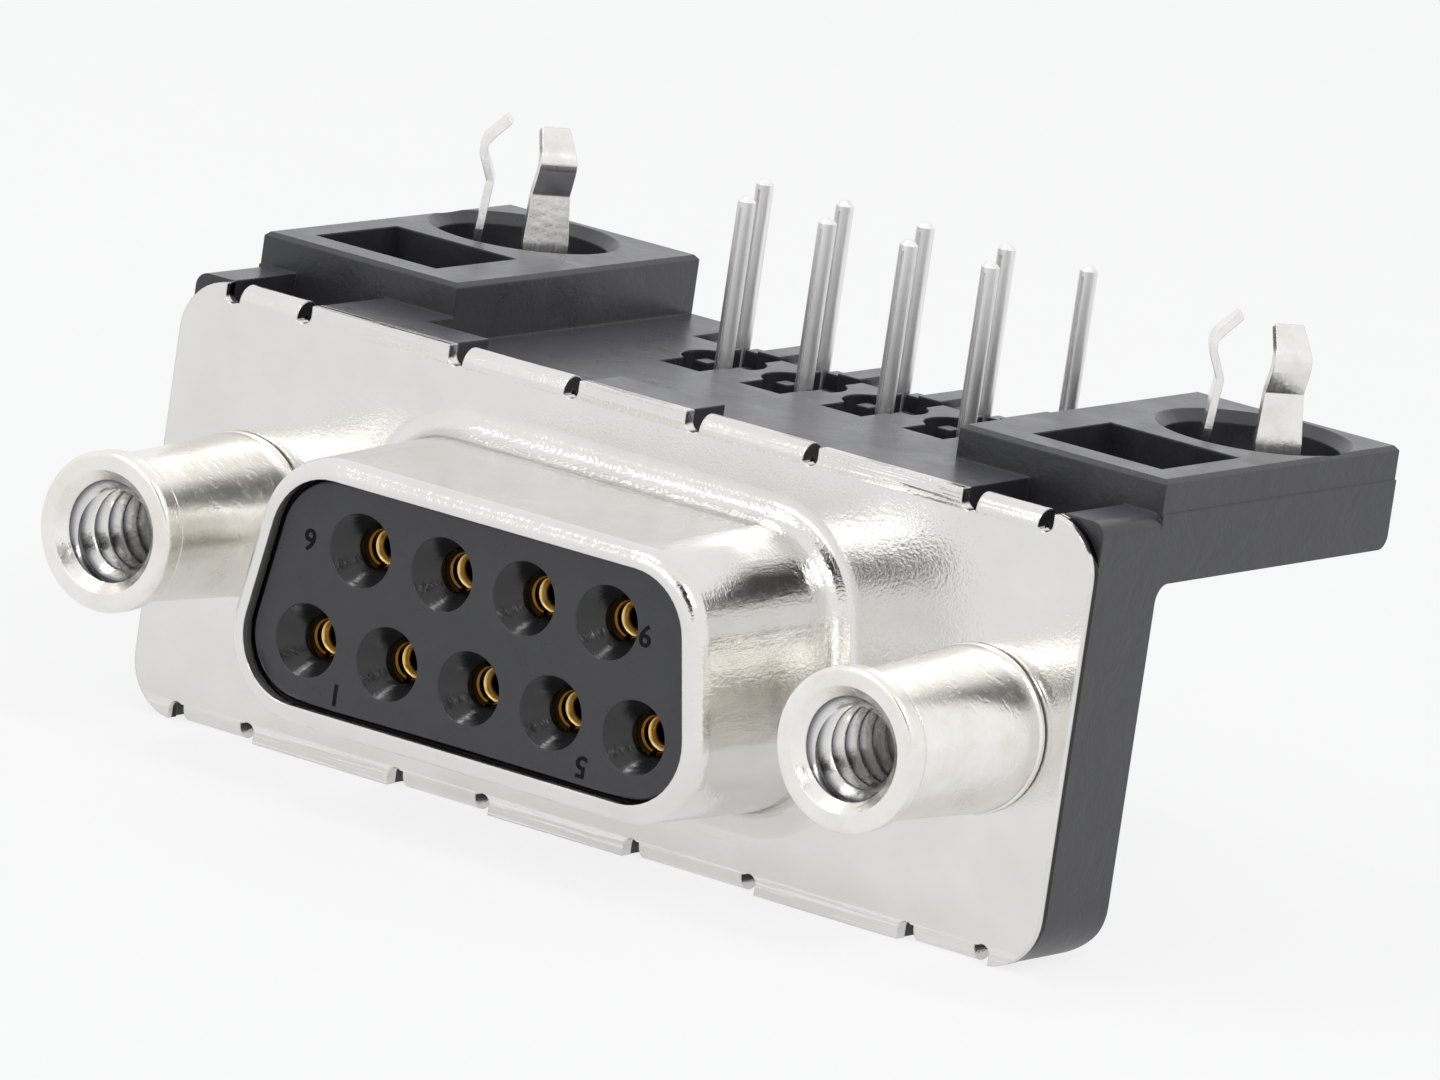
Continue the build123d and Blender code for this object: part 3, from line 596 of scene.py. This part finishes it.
def add_piece(name, points, faces, material, smooth_angle=None):
    """A new mesh object made from points in metres, smooth across edges below an angle in degrees."""
    mesh = bpy.data.meshes.new(name)
    mesh.from_pydata(points, [], faces)
    mesh.validate()
    if smooth_angle:
        mesh.polygons.foreach_set("use_smooth", [True] * len(mesh.polygons))
        mesh.set_sharp_from_angle(angle=math.radians(smooth_angle))
    mesh.materials.append(material)
    piece = bpy.data.objects.new(name, mesh)
    bpy.context.scene.collection.objects.link(piece)
    return piece


def turn_profile(name, centre, profile, steps, material, smooth_angle):
    """A ring turned round an axis along Y; the profile is (radius, y) in millimetres."""
    count = len(profile)
    points = []
    for step in range(steps):
        angle = 2 * math.pi * step / steps
        for radius, place_y in profile:
            points.append((centre[0] + radius * MM * math.sin(angle), place_y * MM,
                           centre[1] + radius * MM * math.cos(angle)))
    faces = []
    for step in range(steps):
        a, b = step * count, (step + 1) % steps * count
        for i in range(count):
            j = (i + 1) % count
            faces.append((a + j, a + i, b + i, b + j))
    ring = add_piece(name, points, faces, material, smooth_angle)
    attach(ring, "root")
    return ring


def taper_barrel(side, material):
    """Leads a standoff's barrel out to its foot in a slight cone, as the cold headed blank has it."""
    bore = mounts[f"jackscrew_{side}"]
    centre = (bore["pos_m"][0], bore["pos_m"][2])
    cone = turn_profile(f"barrel_{side}", centre, BARREL_PROFILE, BARREL_STEPS, material, smooth_angle=30)


def row_z(number):
    """Height of the row that a way is in; the higher numbers are in the upper row as it lies."""
    return (ROW_HEIGHT if number > LOWER_WAYS else -ROW_HEIGHT) * MM


def pinch_tongues(number, material):
    """The pinched ends of a contact's spring tongues, a step behind its lip, which show
    as a bright crescent through the entry."""
    low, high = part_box(f"contact_{number}")
    centre = ((low[0] + high[0]) / 2, row_z(number))
    ring = turn_profile(f"tongues_{number}", centre, TONGUE_PROFILE, TONGUE_STEPS, material, smooth_angle=40)


def cut_thread(side, material):
    """Right-hand thread ridge that winds down a standoff's bore, from half a turn inside its mouth
    to half a turn before the rivet's end."""
    bore = mounts[f"jackscrew_{side}"]
    centre_x, centre_z = bore["pos_m"][0], bore["pos_m"][2]
    root = bore["dims"]["r_mm"]
    wall = (root + WALL_OVERLAP) * MM
    crest = (root - THREAD_DEPTH) * MM
    pitch = 25.4 / THREADS_PER_INCH * MM
    low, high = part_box(f"standoff_{side}")
    mouth_end = low[1] + MOUTH_CHAMFER * MM
    turns = (high[1] - low[1]) / pitch - 2 * LEAD_TURNS
    # The ridge's section, with its crest rounded over, as how far along the axis and how far from
    # the wall to the crest
    section = [(-ROOT_WIDTH / 2, 0.0), (-CREST_WIDTH / 2, 0.9), (-CREST_WIDTH / 5, 1.0),
               (CREST_WIDTH / 5, 1.0), (CREST_WIDTH / 2, 0.9), (ROOT_WIDTH / 2, 0.0)]
    steps = int(turns * STEPS_PER_TURN)
    points = []
    for step in range(steps + 1):
        turn = step / STEPS_PER_TURN
        angle = 2 * math.pi * (turn + LEAD_TURNS)
        # The ridge rises from the wall at one end and runs out at the other
        rise = max(0.0, min(1.0, turn / FADE_TURNS, (turns - turn) / FADE_TURNS))
        for along, share in section:
            place_y = low[1] + pitch * (turn + LEAD_TURNS) + along * MM
            radius = wall + (crest - wall) * share * rise
            # The countersunk mouth is a cone that cuts the first turn down
            under = MOUTH_OVERLAP if place_y < mouth_end else 0.0
            radius = max(radius, (root + under) * MM + mouth_end - place_y)
            points.append((centre_x + radius * math.sin(angle), place_y, centre_z + radius * math.cos(angle)))
    count = len(section)
    faces = []
    for step in range(steps):
        for i in range(count):
            a = step * count + i
            b = step * count + (i + 1) % count
            faces.append((a, b, b + count, a + count))
    faces.append(tuple(reversed(range(count))))
    faces.append(tuple(steps * count + i for i in range(count)))
    thread = add_piece(f"thread_{side}", points, faces, material, smooth_angle=35)
    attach(thread, "root")


def mark_number(number, material):
    """One way number, a dark skin on the insulator's face that stands on its head as the
    connector lies."""
    contact_low, contact_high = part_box(f"contact_{number}")
    face_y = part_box("front_insulator")[0][1]
    across, up = NUMBERS[number]
    text = bpy.data.curves.new(f"number_{number}_text", "FONT")
    text.body = str(number)
    text.size = NUMBER_SIZE * MM
    text.extrude = NUMBER_RELIEF * MM
    text.offset = STROKE_WIDENING * MM
    text.resolution_u = STROKE_STEPS
    text.align_x = "CENTER"
    text.align_y = "CENTER"
    drawn = bpy.data.objects.new(f"number_{number}_text", text)
    bpy.context.scene.collection.objects.link(drawn)
    bpy.context.view_layer.update()
    mesh = bpy.data.meshes.new_from_object(drawn.evaluated_get(bpy.context.evaluated_depsgraph_get()))
    bpy.data.objects.remove(drawn)
    centre_x = (contact_low[0] + contact_high[0]) / 2
    on_face = Matrix(((-1, 0, 0, centre_x + across * MM),
                      (0, 0, -1, face_y),
                      (0, -1, 0, row_z(number) + up * MM),
                      (0, 0, 0, 1)))
    mesh.transform(on_face)
    mesh.materials.clear()
    mesh.materials.append(material)
    piece = bpy.data.objects.new(f"number_{number}", mesh)
    bpy.context.scene.collection.objects.link(piece)
    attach(piece, "root")


def make_camera():
    """A long lens from the front right and a little above, as the photograph was taken."""
    data = bpy.data.cameras.new("photo_camera")
    data.sensor_width = SENSOR
    data.lens = LENS
    data.clip_start = 0.01
    data.clip_end = 20.0
    camera = bpy.data.objects.new("photo_camera", data)
    turn = Matrix((CAMERA_RIGHT, CAMERA_UP, CAMERA_BACK)).transposed().to_4x4()
    camera.matrix_world = Matrix.Translation(Vector(CAMERA_PLACE) * MM) @ turn
    bpy.context.scene.collection.objects.link(camera)
    bpy.context.scene.camera = camera


def from_direction(azimuth, elevation, distance):
    """A place by its direction from the object: azimuth from the front towards the right, in degrees."""
    a, e = math.radians(azimuth), math.radians(elevation)
    return Vector((math.sin(a) * math.cos(e), -math.cos(a) * math.cos(e), math.sin(e))) * distance * MM


def soft_box(name, azimuth, elevation, distance, size, brightness):
    """A rectangular lamp that faces the object; a brightness of 1 looks white."""
    data = bpy.data.lights.new(name, "AREA")
    data.shape = "RECTANGLE"
    data.size, data.size_y = size[0] * MM, size[1] * MM
    data.energy = brightness * math.pi * data.size * data.size_y
    lamp = bpy.data.objects.new(name, data)
    lamp.location = from_direction(azimuth, elevation, distance)
    lamp.rotation_euler = (-lamp.location).to_track_quat("-Z", "Y").to_euler()
    bpy.context.scene.collection.objects.link(lamp)


def reflection_card(name, azimuth, elevation, distance, size, hex_colour):
    """A card that only the shiny surfaces see, as a studio sets up to give metal its dark lines."""
    half_width, half_height = size[0] / 2 * MM, size[1] / 2 * MM
    corners = [(-half_width, -half_height, 0), (half_width, -half_height, 0),
               (half_width, half_height, 0), (-half_width, half_height, 0)]
    card = add_piece(name, corners, [(0, 1, 2, 3)], soft_edged_card(name, hex_colour, size))
    card.location = from_direction(azimuth, elevation, distance)
    card.rotation_euler = (-card.location).to_track_quat("Z", "Y").to_euler()
    card.visible_camera = False
    card.visible_diffuse = False
    card.visible_shadow = False
    card.visible_transmission = False


def make_world():
    """Even light from all round, and white wherever the background is seen or mirrored."""
    world = bpy.data.worlds.new("studio")
    bpy.context.scene.world = world
    world.use_nodes = True
    tree = world.node_tree
    tree.nodes.clear()
    light = add_node(tree, "ShaderNodeBackground", {}, {"Color": linear("#F6F8FF"), "Strength": STUDIO_LIGHT})
    white = add_node(tree, "ShaderNodeBackground", {}, {"Color": linear("#FFFFFF"), "Strength": 1.0})
    path = add_node(tree, "ShaderNodeLightPath")
    mirrored = add_node(tree, "ShaderNodeMath", {"operation": "MAXIMUM"},
                        {0: path.outputs["Is Glossy Ray"], 1: path.outputs["Is Transmission Ray"]})
    share = add_node(tree, "ShaderNodeMath", {"operation": "MULTIPLY"},
                     {0: mirrored.outputs[0], 1: STUDIO_MIRRORED})
    seen = add_node(tree, "ShaderNodeMath", {"operation": "MAXIMUM"},
                    {0: share.outputs[0], 1: path.outputs["Is Camera Ray"]})
    sky = add_node(tree, "ShaderNodeMixShader", {},
                   {0: seen.outputs[0], 1: light.outputs[0], 2: white.outputs[0]})
    add_node(tree, "ShaderNodeOutputWorld", {}, {"Surface": sky.outputs[0]})


def make_floor():
    """The table that the connector lies on."""
    low = cad_box[0][2]
    half = TABLE_HALF_SIZE * MM
    corners = [(-half, -half, low), (half, -half, low), (half, half, low), (-half, half, low)]
    add_piece("table_top", corners, [(0, 1, 2, 3)], white_table())


make_camera()

housing_black = moulded_polyester()
number_black = sunk_number()
nickel = turned_nickel()
tapped = tapped_nickel()
strip = tinned_spring_strip()
contact_plating = gold_and_tin()

dress("front_shell", tinned_sheet())
dress("front_insulator", housing_black)
dress("bracket_housing", housing_black)
for number in range(1, 10):
    dress(f"contact_{number}", contact_plating)
    pinch_tongues(number, contact_plating)
for side in ("left", "right"):
    dress(f"standoff_{side}", nickel)
    dress(f"boardlock_{side}", strip)
    cut_thread(side, tapped)
    taper_barrel(side, nickel)
for number in NUMBERS:
    mark_number(number, number_black)

make_floor()
make_world()
# Soft lamps at the front left, high on the right and overhead, and a dark card above the camera's
# side of the front for the collar's shoulder and the barrels to mirror
soft_box("front_left_box", azimuth=-16, elevation=30, distance=320, size=(170, 100), brightness=1.1)
soft_box("high_right_box", azimuth=60, elevation=46, distance=320, size=(90, 90), brightness=6.0)
soft_box("overhead_box", azimuth=-44, elevation=57, distance=320, size=(50, 50), brightness=11.0)
reflection_card("dark_card", azimuth=29, elevation=34, distance=300, size=(204, 226), hex_colour="#2A2827")
bpy.context.scene.view_settings.view_transform = "Standard"
